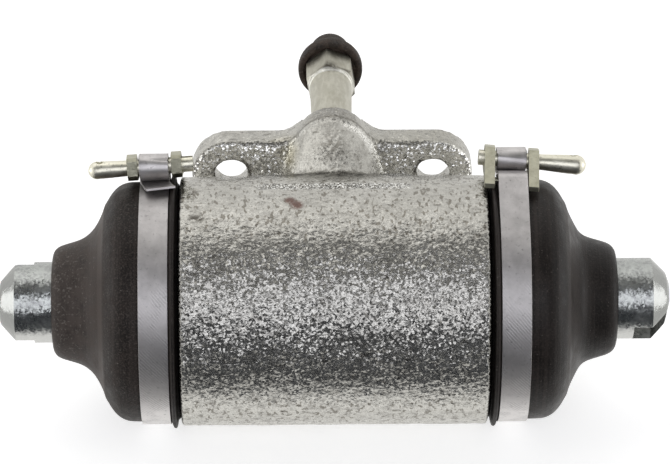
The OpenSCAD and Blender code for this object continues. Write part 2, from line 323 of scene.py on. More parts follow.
# %% The side panels
PANEL_HALF = 0.27
PANEL_REACH = 0.95
PANEL_HEIGHT = 0.02
PANEL_GLOW = 2.2
WHITE = (1.0, 1.0, 1.0, 1.0)
glowing, _, shader = start_finish("side_panel", 0.0, 0.5)
shader.inputs["Emission Color"].default_value = WHITE
shader.inputs["Emission Strength"].default_value = PANEL_GLOW
for name, side in SIDES.items():
    bm = bmesh.new()
    bmesh.ops.create_grid(bm, x_segments=1, y_segments=1, size=PANEL_HALF)
    inwards = Matrix.Rotation(math.radians(-90 * side), 3, "Y")
    bmesh.ops.rotate(bm, cent=(0, 0, 0), matrix=inwards, verts=bm.verts)
    bmesh.ops.translate(bm, vec=(side * PANEL_REACH, AXIS_Y, PANEL_HEIGHT), verts=bm.verts)
    panel = link_mesh("side_panel", bm)
    panel.visible_camera = False
    panel.visible_diffuse = False
    panel.data.materials.append(glowing)
    print(name, "panel at x", round(side * PANEL_REACH, 2))

# %% [markdown]
# Two soft lamps: one by the camera, whose reflection makes the sparkle along the middle of the casting,
# and one above and behind, which lights the top and lays a soft shadow on the floor.

# %% The lamps
def soft_lamp(name, place, width, height, watts, tint):
    data = bpy.data.lights.new(name, "AREA")
    data.shape = "RECTANGLE"
    data.size = width
    data.size_y = height
    data.energy = watts
    data.color = tint
    lamp = bpy.data.objects.new(name, data)
    scene.collection.objects.link(lamp)
    lamp.location = place
    lamp.rotation_euler = (Vector((0, AXIS_Y, 0)) - lamp.location).to_track_quat("-Z", "Y").to_euler()


by_camera = Vector((-0.02, AXIS_Y - 0.88, 0.49))
above = Vector((-0.35, AXIS_Y + 0.3, 0.95))
soft_lamp("camera_lamp", by_camera, width=0.9, height=0.6, watts=3.1, tint=(0.98, 0.99, 1.05))
soft_lamp("top_lamp", above, width=0.9, height=0.7, watts=1.0, tint=(1.0, 0.99, 0.97))
print("lamps:", len(bpy.data.lights))

# %% [markdown]
# The floor is white paper. It glows a little for the camera, so that it reads as white with a faint shadow,
# and reflections look through it at the white tent, as the light came from below too.

# %% The floor
FLOOR_HALF = 3.0
FLOOR_GAP = 0.0001
FLOOR_GLOW = 0.62
bm = bmesh.new()
bmesh.ops.create_grid(bm, x_segments=1, y_segments=1, size=FLOOR_HALF)
bmesh.ops.translate(bm, vec=(0, 0, cad_box[0][2] - FLOOR_GAP), verts=bm.verts)
floor = link_mesh("floor", bm)
floor.visible_glossy = False
paper, tree, shader = start_finish("white_paper", 0.0, 1.0)
shader.inputs["Base Color"].default_value = (0.85, 0.85, 0.85, 1.0)
shader.inputs["Specular IOR Level"].default_value = 0.0
shader.inputs["Emission Color"].default_value = WHITE
tree.links.new(times(tree, seen_directly(tree), FLOOR_GLOW), shader.inputs["Emission Strength"])
floor.data.materials.append(paper)
print("floor at z", round(cad_box[0][2], 4))

# %% [markdown]
# The casting is sand-cast iron with thin bright zinc, so every grain of the mould is a small mirror.
# A flat grey would look like plastic. A metal with a strong half-millimetre grain sparkles as it should.
# The plating comes first: cloudy greys with old pits as dark spots, painted paler below the axis and greyer
# again lower down, as painted light and shade by height.
# In all its masks, across, depth and height are millimetres along X, Y and Z.

# %% Cast zinc, the plating
# This grey darkens the pits, and along the pad's edge it paints a shadow.
DIRT_AND_SHADOW = (0.13, 0.12, 0.105)
# This grey paints shade on the flange's edge and darkens the top of the hill.
DARK_GREY = (0.2, 0.19, 0.17)
cast_zinc, tree, shader = start_finish("cast_zinc", 1.0, 0.33)
place = millimetres(tree)
across = split(tree, place, "X")
depth = split(tree, place, "Y")
height = split(tree, place, "Z")
grain = noise(tree, place, 1.1, 1.0, 0.5)
fine = noise(tree, place, 3.0, 1.0, 0.5)
clouds = noise(tree, place, 0.16, 3.0, 0.6)
pits = noise(tree, millimetres(tree, (0.7, 1, 1)), 0.75, 3.0, 0.62)
mottle = noise(tree, millimetres(tree, (0.8, 1, 1)), 0.6, 4.0, 0.65)
colour = mix(tree, spread(tree, clouds, 0.35, 0.65), (0.47, 0.46, 0.425), (0.54, 0.53, 0.495))
for mask, paint in (
    # Painted light and shade by height: paler below the axis, then greyer again lower down.
    (spread(tree, height, -2.0, -8.0, 0.0, 0.85), (0.68, 0.67, 0.63)),
    (spread(tree, height, -11.5, -16.0, 0.0, 0.6), (0.52, 0.51, 0.47)),
    (spread(tree, fine, 0.4, 0.7, 0.0, 0.4), (0.32, 0.31, 0.29)),
    (spread(tree, mottle, 0.5, 0.66, 0.0, 0.6), (0.25, 0.24, 0.22)),
    (spread(tree, pits, 0.6, 0.7, 0.0, 0.75), DIRT_AND_SHADOW),
):
    colour = mix(tree, mask, colour, paint)
print("plating:", len(tree.nodes), "nodes")

# %% [markdown]
# Each mark that a person would know the part by sits where the picture shows it: a rusty pit, a worn pit,
# a yellow stain by the flange, and the dark top of the hill over the bleed screw.
# Round blots of paint, broken up by the grain, are enough at this size.
# Small dark spots show most where the light is even, on the top of the barrel and underneath.

# %% Cast zinc, spots and stains
RUST = (0.16, 0.108, 0.094)
on_top = spread(tree, depth, -12.0, -16.0)
in_even_light = times(tree, spread(tree, height, 21.5, 24.0), on_top)
in_even_light = calc(tree, "MAXIMUM", in_even_light, spread(tree, height, -6.0, -10.0))
spots = noise(tree, millimetres(tree, (1.25, 0.65, 0.8)), 1.0, 1.5, 0.5)
spots = times(tree, spread(tree, spots, 0.58, 0.64, 0.0, 0.85), in_even_light)
colour = mix(tree, spots, colour, (0.19, 0.175, 0.15))
coarse = spread(tree, grain, 0.38, 0.5)
solid = spread(tree, grain, 0.28, 0.42)
faint = spread(tree, clouds, 0.3, 0.6, 0.1, 0.45)
sooty = spread(tree, fine, 0.35, 0.6, 0.4, 0.75)
patchy = spread(tree, grain, 0.4, 0.6, 0.15, 0.9)
for point, inner, outer, share, paint in (
    ((-9.2, -31.0, 26.6), 0.7, 1.6, solid, RUST),
    ((-7.8, -32.5, 26.5), 0.8, 1.8, solid, RUST),
    ((-29.6, -36.3, 25.6), 0.4, 1.5, coarse, (0.1, 0.092, 0.08)),
    ((-28.2, -36.3, 25.6), 0.4, 1.5, coarse, (0.1, 0.092, 0.08)),
    ((-10.5, -7.0, 24.0), 1.0, 5.0, faint, (0.42, 0.37, 0.2)),
    ((0.0, -3.0, 32.0), 3.0, 7.5, sooty, DARK_GREY),
    # Painted shade: a dark patch on the front of the hill stands in for the dark surroundings it mirrors.
    ((0.0, -11.5, 28.8), 1.0, 4.4, patchy, (0.19, 0.18, 0.16)),
):
    colour = blot(tree, place, colour, point, inner, outer, share, paint)
print("spots and stains:", len(tree.nodes), "nodes so far")

# %% [markdown]
# The front of the flange and the right of the hill get a painted highlight: their grains are painted bright.
# Painted shade darkens the flange's edge, and a mottled painted shadow lies at the foot of the boss.
# The edge of the bare pad on the barrel gets dark grains of painted shadow and painted glints.

# %% Cast zinc, painted highlights and shade
ends = calc(tree, "ABSOLUTE", across)
# Painted highlight: the flange's front face and a crest on the right of the hill are painted nearly white.
face = within(tree, depth, (-7.4, -6.4), (-5.0, -5.6))
face = times(tree, face, spread(tree, ends, 9.5, 14.0, 0.1, 0.9))
crest = within(tree, depth, (-8.4, -7.4), (-6.0, -6.5))
crest = times(tree, crest, spread(tree, fine, 0.44, 0.52), spread(tree, across, 1.0, 4.0, 0.0, 0.85))
painted_highlight = calc(tree, "MAXIMUM", face, crest)
# Painted shade: the flange's edge is darkened where the lamp would light it.
edge = within(tree, depth, (-5.7, -5.5), (-4.9, -5.2))
edge = times(tree, edge, spread(tree, across, 24.0, 20.0, 0.0, 0.8))
pad = spread(tree, ends, 17.5, 15.5)
# Painted shadow: a mottled dark band at the foot of the boss, across the pad.
foot = within(tree, depth, (-21.0, -18.5), (-13.5, -15.0))
foot = times(tree, foot, pad, spread(tree, mottle, 0.45, 0.55, 0.1, 1.0))
# Painted shadow and painted glints along the edge of the pad: dark grains and bright grains.
step = calc(tree, "ABSOLUTE", calc(tree, "ADD", depth, 25.4))
step = times(tree, spread(tree, step, 1.5, 0.9), pad, spread(tree, height, 10.0, 15.0))
# Painted shade: the flange's top right of the boss is darker, as less light falls on the right.
right_shade = times(tree, spread(tree, depth, -6.5, -5.5), spread(tree, across, 4.0, 14.0, 0.0, 0.45))
right_shade = times(tree, right_shade, spread(tree, height, 23.0, 25.0))
for mask, paint in (
    (painted_highlight, (0.97, 0.96, 0.92)),
    (edge, DARK_GREY),
    (foot, (0.1, 0.095, 0.085)),
    (times(tree, step, spread(tree, grain, 0.42, 0.58, 0.15, 0.9)), DIRT_AND_SHADOW),
    (times(tree, step, spread(tree, fine, 0.5, 0.57, 0.0, 0.85)), (0.93, 0.93, 0.9)),
    (right_shade, (0.34, 0.33, 0.29)),
):
    colour = mix(tree, mask, colour, paint)
tree.links.new(colour, shader.inputs["Base Color"])
tree.links.new(spread(tree, fine, 0.3, 0.7, 0.24, 0.34), shader.inputs["Roughness"])
print("clean and painted_shade places:", len(tree.nodes), "nodes so far")

# %% [markdown]
# Grains stand up most along the front of the barrel, and lie flatter on its top and underneath.
# The hill over the bleed screw is worn smooth, and its grains lie back towards the sky.

# %% Cast zinc, the grain
GRAIN_MM = 0.45
bumped = raise_surface(tree, shader, pits, -0.25)
bumped = raise_surface(tree, shader, grain, 0.06, bumped)
flat_top = times(tree, spread(tree, height, 20.3, 22.9, 0.0, 0.6), on_top)
flat_below = spread(tree, height, 2.0, -4.0, 0.0, 0.45)
upright = calc(tree, "SUBTRACT", 1.0, calc(tree, "ADD", flat_top, flat_below))
tilt = times(tree, spread(tree, clouds, 0.3, 0.7, 0.42, 0.56), upright)
lively = within(tree, height, (-3.0, 1.0), (8.0, 4.0), 0.1)
for more in (lively, times(tree, step, 0.9), times(tree, painted_highlight, 0.4)):
    tilt = calc(tree, "ADD", tilt, more)
hill = times(tree, spot(tree, place, (0, -8, 25), 9.0, 13.0), spread(tree, depth, -6.3, -7.3))
skyward = vector_step(tree, "SCALE", (0, 0, 1.4), scale=hill)
flakes(tree, shader, place, GRAIN_MM, tilt, vector_step(tree, "ADD", bumped, skyward))
print("finish:", cast_zinc.name, len(tree.nodes), "nodes")

# %% [markdown]
# A casting has no sharp inside corners: the boss and the flange run into the barrel in soft fillets.
# Fillets could be drawn one by one. Turning a copy of the CAD mesh into small voxels and smoothing it
# rounds all of them at once, as wear on the wooden pattern does. The turned neck and bore keep their size.

# %% The casting
MERGE = 0.000005


def merged_mesh(node):
    bm = bmesh.new()
    bm.from_mesh(nodes[node].data)
    bmesh.ops.remove_doubles(bm, verts=bm.verts, dist=MERGE)
    return bm


def settle(piece):
    """Turns a piece's modifiers into plain mesh."""
    bpy.context.view_layer.update()
    ready = bpy.data.meshes.new_from_object(piece.evaluated_get(bpy.context.evaluated_depsgraph_get()))
    piece.modifiers.clear()
    piece.data = ready
    piece.data.polygons.foreach_set("use_smooth", [True] * len(ready.polygons))
    return piece


casting = link_mesh("casting", merged_mesh("cylinder_body"))
voxels = casting.modifiers.new("voxels", "REMESH")
voxels.mode = "VOXEL"
voxels.voxel_size = 0.6 * MM
voxels.use_smooth_shade = True
settle(casting)
print("voxel casting:", len(casting.data.vertices), "points")

# %% [markdown]
# The outer skin is roughened with two cloud textures, and the foot of the boss gets far more smoothing.
# Point groups say where each of these works, so the neck, the bore and the mounting face stay true.
# The mounting face is milled, so its points are set level again after the voxels.

# %% Groups of the casting's points
FACE_DEPTH = 0.4 * MM
SKIN_RADIUS = 25.5 * MM
BOSS_HALF = 20 * MM
BOSS_LOW = 13 * MM
BOSS_FRONT = -34 * MM
skin_end = abs(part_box("left_boot")[1].x) - 0.6 * MM
skin_points = []
boss_points = []
for point in casting.data.vertices:
    x, y, z = point.co
    if y > -FACE_DEPTH:
        point.co.y = 0.0
    outside = math.hypot(y - AXIS_Y, z) > SKIN_RADIUS and y < -2 * FACE_DEPTH
    if outside and abs(x) < skin_end:
        skin_points.append(point.index)
        if abs(x) < BOSS_HALF and z > BOSS_LOW and y > BOSS_FRONT:
            boss_points.append(point.index)
casting.vertex_groups.new(name="skin").add(skin_points, 1.0, "REPLACE")
casting.vertex_groups.new(name="foot").add(boss_points, 1.0, "REPLACE")
print("skin points:", len(skin_points), "of which by the boss:", len(boss_points))

# %% [markdown]
# Smoothing comes before the roughness, or it would take the roughness away again.

# %% The casting's skin
for name, rounds, group in (("even", 4, ""), ("fillet", 24, "foot")):
    smooth = casting.modifiers.new(name, "SMOOTH")
    smooth.factor = 0.5
    smooth.iterations = rounds
    smooth.vertex_group = group
for name, size, amount in (("lumps", 6.0, 0.25), ("sand", 0.9, 0.14)):
    cloud = bpy.data.textures.new(name, "CLOUDS")
    cloud.noise_scale = size * MM
    rough = casting.modifiers.new(name, "DISPLACE")
    rough.texture = cloud
    rough.texture_coords = "LOCAL"
    rough.strength = amount * MM
    rough.mid_level = 0.5
    rough.vertex_group = "skin"
settle(casting)
casting.data.materials.clear()
casting.data.materials.append(cast_zinc)
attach(casting, "cylinder")
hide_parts("cylinder_body")
print("casting:", len(casting.data.polygons), "faces")

# %% [markdown]
# The boots, cups and cap are moulded rubber, and each is the same all the way round.
# Such a shape could be lathed in CAD. Here a closed outline is spun about the axis and smoothed,
# so its lips and folds get the soft edges of rubber.

# %% Spun rubber
SEAM = 0.000001
ALONG_X = (1, 0, 0)
ALONG_Y = (0, 1, 0)


def spun(name, outline, centre, axis, steps, levels):
    bm = bmesh.new()
    corners = [bm.verts.new(point) for point in outline]
    edges = [bm.edges.new((a, b)) for a, b in zip(corners, corners[1:] + corners[:1])]
    whole = corners + edges
    bmesh.ops.spin(bm, geom=whole, cent=centre, axis=axis, angle=math.tau, steps=steps, use_merge=True)
    bmesh.ops.remove_doubles(bm, verts=bm.verts, dist=SEAM)
    bmesh.ops.recalc_face_normals(bm, faces=bm.faces)
    made = link_mesh(name, bm)
    rounder = made.modifiers.new("rounder", "SUBSURF")
    rounder.levels = levels
    rounder.render_levels = levels
    return settle(made)


def round_axis(side, outline):
    return [(side * x * MM, AXIS_Y, r * MM) for x, r in outline]


print("spun helper ready")

# %% [markdown]
# A boot seats on the neck with a bead in its groove, carries the band, swells out, then draws in to the rod.
# The right one is swollen a little further out, and both outer ends are trimmed to the picture.

# %% The boots
boot_outline = [
    (32.92, 23.55), (32.92, 24.6), (32.95, 25.2), (33.25, 25.35), (33.5, 25.6), (33.6, 26.7), (33.75, 27.22),
    (34.05, 27.36), (34.4, 27.24), (34.64, 26.6), (34.8, 25.95), (35.3, 25.8), (38.3, 25.8), (41.4, 25.8),
    (42.4, 25.8), (43.7, 25.74), (44.8, 25.48), (45.9, 24.92), (46.9, 24.05), (47.8, 22.85), (48.45, 21.7),
    (48.75, 21.25), (49.0, 20.85), (49.2, 20.1), (49.6, 19.0), (50.3, 17.5), (51.2, 15.95), (52.3, 14.72),
    (53.5, 13.85), (54.6, 13.3), (56.6, 12.72), (58.8, 12.12), (60.0, 11.5), (60.75, 10.7), (61.0, 9.8),
    (60.9, 9.05), (60.4, 8.85), (60.0, 8.5), (59.9, 7.95), (58.0, 7.95), (57.85, 8.6), (57.5, 9.0),
    (56.8, 9.5), (55.4, 10.9), (53.9, 11.5), (52.5, 12.3), (51.1, 13.4), (49.8, 15.2), (48.6, 17.7),
    (47.35, 19.8), (46.25, 21.4), (44.85, 22.7), (43.35, 23.3), (41.95, 23.52), (39.15, 23.52), (38.9, 23.2),
    (38.85, 22.7), (37.25, 22.7), (37.2, 23.2), (36.95, 23.52), (34.5, 23.52),
]
BULGE_START = 42
BULGE_END = 53
TRIM_START = 58.5
TRIM_LENGTH = 2.5


def swollen(outline, extra, trim):
    shaped = []
    for x, r in outline:
        if x > BULGE_START:
            x = x + extra * min(1.0, max(0.0, (BULGE_END - x) / 2))
        shaped.append((x - trim * max(0.0, x - TRIM_START) / TRIM_LENGTH, r))
    return shaped


boots = {}
for name, extra, trim in (("left", 0.0, 0.75), ("right", 0.8, 0.4)):
    outline = round_axis(SIDES[name], swollen(boot_outline, extra, trim))
    boots[name] = spun(name + "_rubber_boot", outline, (0, AXIS_Y, 0), ALONG_X, steps=72, levels=1)
    print(boots[name].name, len(boots[name].data.polygons), "faces")

# %% [markdown]
# Old rubber is brown-black and dull, with dust in it, and the mould has left faint rings.
# The left boot is the dustier one. The right one is smoother, and painted shade darkens it, as less light
# falls on the right.

# %% Boot rubber
boot_rubber, tree, shader = start_finish("boot_rubber", 0.0, 0.55)
shader.inputs["Specular IOR Level"].default_value = 0.2
place = millimetres(tree)
across = split(tree, place, "X")
ends = calc(tree, "ABSOLUTE", across)
blotches = noise(tree, place, 0.12, 3.0, 0.6)
rings = noise(tree, millimetres(tree, (1, 0.02, 0.02)), 1.4, 2.0, 0.5)
dust = noise(tree, place, 1.9, 2.0, 0.5)
grain = noise(tree, place, 2.6, 2.0, 0.6)
haze = noise(tree, place, 0.35, 4.0, 0.65)
crease = within(tree, ends, (48.9, 49.3), (53.0, 51.2))
crease = times(tree, crease, spread(tree, haze, 0.3, 0.65, 0.25, 0.8))
powder = spread(tree, across, -44.0, -54.0, 0.0, 0.4)
powder = calc(tree, "ADD", powder, spread(tree, across, -48.6, -49.2, 0.0, 0.5))
powder = times(tree, powder, spread(tree, haze, 0.3, 0.6, 0.3, 1.0))
# Painted highlight: a thin light line along the ridge where the neck meets the bulge, stronger on the left.
crease_highlight = within(tree, ends, (48.7, 49.0), (50.2, 49.8))
crease_highlight = times(tree, crease_highlight, spread(tree, haze, 0.3, 0.6, 0.25, 0.75))
crease_highlight = times(tree, crease_highlight, spread(tree, across, 0.0, 40.0, 1.0, 0.4))
grit = times(tree, spread(tree, grain, 0.48, 0.7), spread(tree, across, -30.0, -50.0, 0.3, 0.75))
left_dust = calc(tree, "ADD", dust, spread(tree, across, -50.0, -56.0, 0.0, 0.09))
dark = (0.0085, 0.0064, 0.0056)
colour = mix(tree, spread(tree, blotches, 0.35, 0.65), dark, (0.0165, 0.0125, 0.0108))
for mask, paint in (
    (spread(tree, rings, 0.45, 0.68, 0.0, 0.6), (0.042, 0.033, 0.0285)),
    (spread(tree, haze, 0.48, 0.72, 0.0, 0.4), (0.045, 0.034, 0.03)),
    (crease, (0.076, 0.062, 0.056)),
    (powder, (0.083, 0.067, 0.059)),
    (crease_highlight, (0.12, 0.1, 0.09)),
    (grit, (0.085, 0.07, 0.061)),
    (spread(tree, left_dust, 0.67, 0.75, 0.0, 0.5), (0.22, 0.2, 0.18)),
    # Painted shade: the right boot is darkened, as less light falls on the right.
    (spread(tree, across, 40.0, 46.0, 0.0, 0.4), (0.006, 0.0048, 0.0046)),
):
    colour = mix(tree, mask, colour, paint)
# Painted shadow: the rubber next to the casting is nearly black, the shadow in the gap, and the lip beyond
# it a little darker.
lip = spread(tree, ends, 34.5, 35.0, 0.8, 1.0)
unshaded_share = times(tree, spread(tree, ends, 33.3, 33.75, 0.2, 1.0), lip)
colour = mix(tree, unshaded_share, (0.002, 0.0016, 0.0014), colour)
tree.links.new(colour, shader.inputs["Base Color"])
worn = spread(tree, haze, 0.35, 0.7, 0.46, 0.68)
worn = times(tree, worn, spread(tree, across, 38.0, 44.0, 1.0, 0.78))
tree.links.new(worn, shader.inputs["Roughness"])
bumped = raise_surface(tree, shader, rings, 0.09)
raise_surface(tree, shader, grain, 0.06, bumped)
for name, boot in boots.items():
    boot.data.materials.append(boot_rubber)
    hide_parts(name + "_boot")
print("finish:", boot_rubber.name)

# %% [markdown]
# When a piston moves, the seat of its boot stays put and the lip in the rod's groove travels.
# In the real part the inner end stays with the cylinder and the outer end goes with the piston.
# Here each boot's place is only baked into its mesh.

# %% Bake the boots in place
for name, side in SIDES.items():
    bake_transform(boots[name])

# %% [markdown]
# A rubber cup seals each piston. It is hidden in the bore, but anyone who takes the part apart will see it.

# %% The cups
cup_rubber, tree, shader = start_finish("cup_rubber", 0.0, 0.45)
place = millimetres(tree)
marks = noise(tree, place, 0.6, 3.0, 0.6)
tree.links.new(mix(tree, marks, (0.012, 0.012, 0.013), (0.03, 0.03, 0.031)), shader.inputs["Base Color"])
tree.links.new(spread(tree, marks, 0.3, 0.7, 0.35, 0.55), shader.inputs["Roughness"])
raise_surface(tree, shader, marks, 0.04)
cup_outline = [
    (10.5, 0.0), (14.45, 0.0), (14.45, 10.0), (14.45, 17.6), (14.3, 18.7), (13.6, 18.95), (10.0, 18.95),
    (7.4, 18.95), (7.05, 18.7), (7.05, 17.8), (7.5, 17.3), (9.6, 16.0), (10.4, 15.2), (10.5, 14.2),
    (10.5, 8.0),
]
for name, side in SIDES.items():
    outline = round_axis(side, cup_outline)
    cup = spun(name + "_rubber_cup", outline, (0, AXIS_Y, 0), ALONG_X, steps=48, levels=1)
    cup.data.materials.append(cup_rubber)
    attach(cup, name + "_piston")
    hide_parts(name + "_cup")
    print(cup.name, len(cup.data.polygons), "faces")

# %% [markdown]
# The dust cap is a small rubber hat: a thick brim that hugs the hexagon, and a dome over the nipple.

# %% The bleed cap
cap_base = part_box("bleed_cap")[0].y / MM
cap_outline = [
    (0.0, 5.92), (0.0, 6.5), (0.1, 6.95), (0.6, 7.2), (1.7, 7.22), (2.7, 7.18), (3.4, 6.92), (4.1, 6.3),
    (4.8, 5.5), (5.7, 4.95), (7.0, 4.74), (8.4, 4.68), (9.8, 4.5), (11.2, 3.72), (12.3, 2.4), (12.85, 1.0),
    (12.92, 0.0), (9.2, 0.0), (9.2, 2.0), (9.15, 3.4), (8.6, 3.6), (4.0, 3.6), (1.15, 3.65), (0.95, 4.0),
    (0.93, 5.4), (0.75, 5.9),
]
cap_points = [(0.0, (cap_base + y) * MM, BLEED_Z + r * MM) for y, r in cap_outline]
cap = spun("rubber_cap", cap_points, (0, 0, BLEED_Z), ALONG_Y, steps=48, levels=2)
cap_rubber, tree, shader = start_finish("cap_rubber", 0.0, 0.6)
shader.inputs["Specular IOR Level"].default_value = 0.25
place = millimetres(tree)
wear = noise(tree, place, 0.45, 4.0, 0.65)
dust = noise(tree, place, 1.6, 2.0, 0.55)
dome = spread(tree, split(tree, place, "Y"), 34.0, 38.0, 0.0, 0.45)
colour = mix(tree, spread(tree, wear, 0.35, 0.7), (0.017, 0.0122, 0.0092), (0.072, 0.052, 0.04))
colour = mix(tree, dome, colour, (0.07, 0.054, 0.045))
colour = mix(tree, spread(tree, dust, 0.55, 0.72, 0.0, 0.5), colour, (0.11, 0.09, 0.075))
tree.links.new(colour, shader.inputs["Base Color"])
tree.links.new(spread(tree, wear, 0.3, 0.7, 0.5, 0.75), shader.inputs["Roughness"])
bumped = raise_surface(tree, shader, wear, 0.5)
raise_surface(tree, shader, dust, 0.2, bumped)
cap.data.materials.append(cap_rubber)
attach(cap, "bleed_cap")
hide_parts("bleed_cap")
print(cap.name, len(cap.data.polygons), "faces")

# %% [markdown]
# The pieces that show get a fine rounded edge, which catches the light as a real edge does.
# A CAD mesh must not change, so a merged copy takes the bevel and stands for its node.
# The pieces hidden in the bore keep their CAD meshes and only get a finish.

# %% Soft edges and finishes
SHARP = math.radians(35)


def softened(node, name, body, material, edge_mm=0.15):
    piece = link_mesh(name, merged_mesh(node))
    piece.data.polygons.foreach_set("use_smooth", [True] * len(piece.data.polygons))
    edge = piece.modifiers.new("edge", "BEVEL")
    edge.limit_method = "ANGLE"
    edge.angle_limit = SHARP
    edge.width = edge_mm * MM
    edge.segments = 2
    edge.profile = 0.5
    flat = piece.modifiers.new("flat", "WEIGHTED_NORMAL")
    flat.keep_sharp = True
    settle(piece)
    piece.data.materials.clear()
    piece.data.materials.append(material)
    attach(piece, body)
    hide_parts(node)
    print(name, len(piece.data.polygons), "faces")
    return piece


def dress(material, *names):
    for name in names:
        nodes[name].data.materials.clear()
        nodes[name].data.materials.append(material)
    print(material.name, "on", ", ".join(names))


print("edge and finish helpers ready")

# %% [markdown]
# The push rods are turned steel with bright zinc: nearly mirrors, clouded by handling and dark mottles.
# The cone at the end of each rod is darker and smoother than the rest.

# %% Rod zinc
CONE = (68.0, 68.4)
rod_zinc, tree, shader = start_finish("rod_zinc", 1.0, 0.2)
place = millimetres(tree)
clouds = noise(tree, place, 0.3, 4.0, 0.65)
mottle = noise(tree, place, 1.1, 3.0, 0.6)
lathe = noise(tree, millimetres(tree, (1, 0.03, 0.03)), 2.4, 2.0, 0.5)
ends = calc(tree, "ABSOLUTE", split(tree, place, "X"))
# Painted reflection: the underside of each rod is painted paler, as it mirrors the white below.
underside_reflection = spread(tree, split(tree, place, "Z"), -1.2, -3.2, 0.0, 0.75)
colour = mix(tree, spread(tree, clouds, 0.35, 0.65), (0.385, 0.4, 0.385), (0.475, 0.49, 0.475))
colour = mix(tree, spread(tree, mottle, 0.45, 0.62, 0.0, 0.6), colour, (0.25, 0.25, 0.255))
colour = mix(tree, underside_reflection, colour, (0.68, 0.68, 0.66))
colour = mix(tree, spread(tree, ends, *CONE, 0.0, 0.85), colour, (0.31, 0.315, 0.305))
tree.links.new(colour, shader.inputs["Base Color"])
polish = spread(tree, ends, *CONE, 1.0, 0.6)
polish = times(tree, polish, spread(tree, clouds, 0.3, 0.7, 0.22, 0.4))
tree.links.new(polish, shader.inputs["Roughness"])
bumped = raise_surface(tree, shader, lathe, 0.02)
bumped = raise_surface(tree, shader, mottle, 0.05, bumped)
flakes(tree, shader, place, 0.4, spread(tree, ends, 67.8, 68.2, 0.2, 0.04), bumped)
for name in SIDES:
    softened(name + "_pushrod", name + "_rod", name + "_pushrod", rod_zinc, edge_mm=0.25)

# %% [markdown]
# The bands are soft plated strip with a purplish cast and slanting scratches.
# A sine wave along the slant, measured round the axis, draws the scratches, and clouds break them up.

# %% Band steel
BAND_RADIUS = 26.4
HATCH_PERIOD = 0.55
SLANT_SINE = 0.656
SLANT_COSINE = 0.755
band_steel, tree, shader = start_finish("band_steel", 1.0, 0.38)
place = millimetres(tree)
height = split(tree, place, "Z")
clouds = noise(tree, place, 0.25, 4.0, 0.6)
specks = noise(tree, place, 1.3, 3.0, 0.6)
front = calc(tree, "SUBTRACT", AXIS_Y / MM, split(tree, place, "Y"))
round_it = times(tree, calc(tree, "ARCTAN2", height, front), BAND_RADIUS * SLANT_SINE)
slant = calc(tree, "ADD", times(tree, split(tree, place, "X"), SLANT_COSINE), round_it)
slant = calc(tree, "ADD", slant, times(tree, specks, 0.5))
hatch = spread(tree, calc(tree, "SINE", times(tree, slant, math.tau / HATCH_PERIOD)), -1.0, 1.0)
patches = spread(tree, noise(tree, place, 0.25, 2.0, 0.5), 0.44, 0.6, 0.0, 0.5)
patches = times(tree, patches, spread(tree, height, 19.0, 14.0))
scratch = times(tree, hatch, patches)
brushed = noise(tree, millimetres(tree, (1.0, 0.05, 0.05)), 3.0, 2.0, 0.5)
colour = mix(tree, spread(tree, clouds, 0.35, 0.65), (0.455, 0.437, 0.433), (0.6, 0.58, 0.575))
# Painted reflection: the lower part of each band is painted paler, as it mirrors the white below.
colour = mix(tree, spread(tree, height, -8.0, -14.0, 0.0, 0.8), colour, (0.85, 0.83, 0.82))
colour = mix(tree, scratch, colour, (0.3, 0.288, 0.29))
colour = mix(tree, spread(tree, specks, 0.6, 0.74, 0.0, 0.6), colour, (0.2, 0.19, 0.19))
tree.links.new(colour, shader.inputs["Base Color"])
tree.links.new(spread(tree, height, 27.5, 29.0, 0.5, 0.42), shader.inputs["Roughness"])
bumped = raise_surface(tree, shader, brushed, 0.015)
raise_surface(tree, shader, scratch, 0.05, bumped)
bands = {}
for name in SIDES:
    node = name + "_clamp_band"
    bands[name] = softened(node, name + "_band", "cylinder", band_steel, edge_mm=0.08)

# %% [markdown]
# The real strips were wound on by hand: each roll tilts along its pin, and the left tail is pulled askew.
# Turning just those points with a bmesh operator is enough, since the joins lie hidden under the rolls.

# %% Wound by hand
ROLL_RADIUS = 2.95 * MM
TAIL_RADIUS = 26.45 * MM
TAIL_ROOT = 2.9 * MM
TAIL_DEGREES = 12
TAIL_SHIFT = 1.0 * MM


def tipped(piece, chosen, centre, degrees, axis, shift=(0, 0, 0)):
    bm = bmesh.new()
    bm.from_mesh(piece.data)
    part = [point for point in bm.verts if chosen(point.co)]
    turn = Matrix.Rotation(math.radians(degrees), 3, axis)
    bmesh.ops.rotate(bm, cent=centre, matrix=turn, verts=part)
    bmesh.ops.translate(bm, vec=shift, verts=part)
    bm.to_mesh(piece.data)
    bm.free()
    print(piece.name, "turned", len(part), "points")


def roll_about(pin):
    def in_roll(p):
        return math.hypot(p.y - pin.y, p.z - pin.z) < ROLL_RADIUS

    return in_roll


def in_tail(p):
    on_outside = math.hypot(p.y - AXIS_Y, p.z) > TAIL_RADIUS and p.z > 0
    return on_outside and -2 * MM < p.y - AXIS_Y < 3.8 * MM


for name, tilt in (("left", -4.0), ("right", 5.0)):
    low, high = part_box(name + "_clamp_pin")
    pin = (low + high) / 2
    low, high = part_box(name + "_clamp_band")
    pin.x = (low.x + high.x) / 2
    tipped(bands[name], roll_about(pin), pin, tilt, "Y")
low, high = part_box("left_clamp_band")
root = Vector(((low.x + high.x) / 2, AXIS_Y + TAIL_ROOT, high.z))
tipped(bands["left"], in_tail, root, TAIL_DEGREES, "Z", shift=(TAIL_SHIFT, 0, 0))

# %% [markdown]
# The yokes are small pressings with a dull olive plating.
# The pins are turned and polished, so they are brighter.

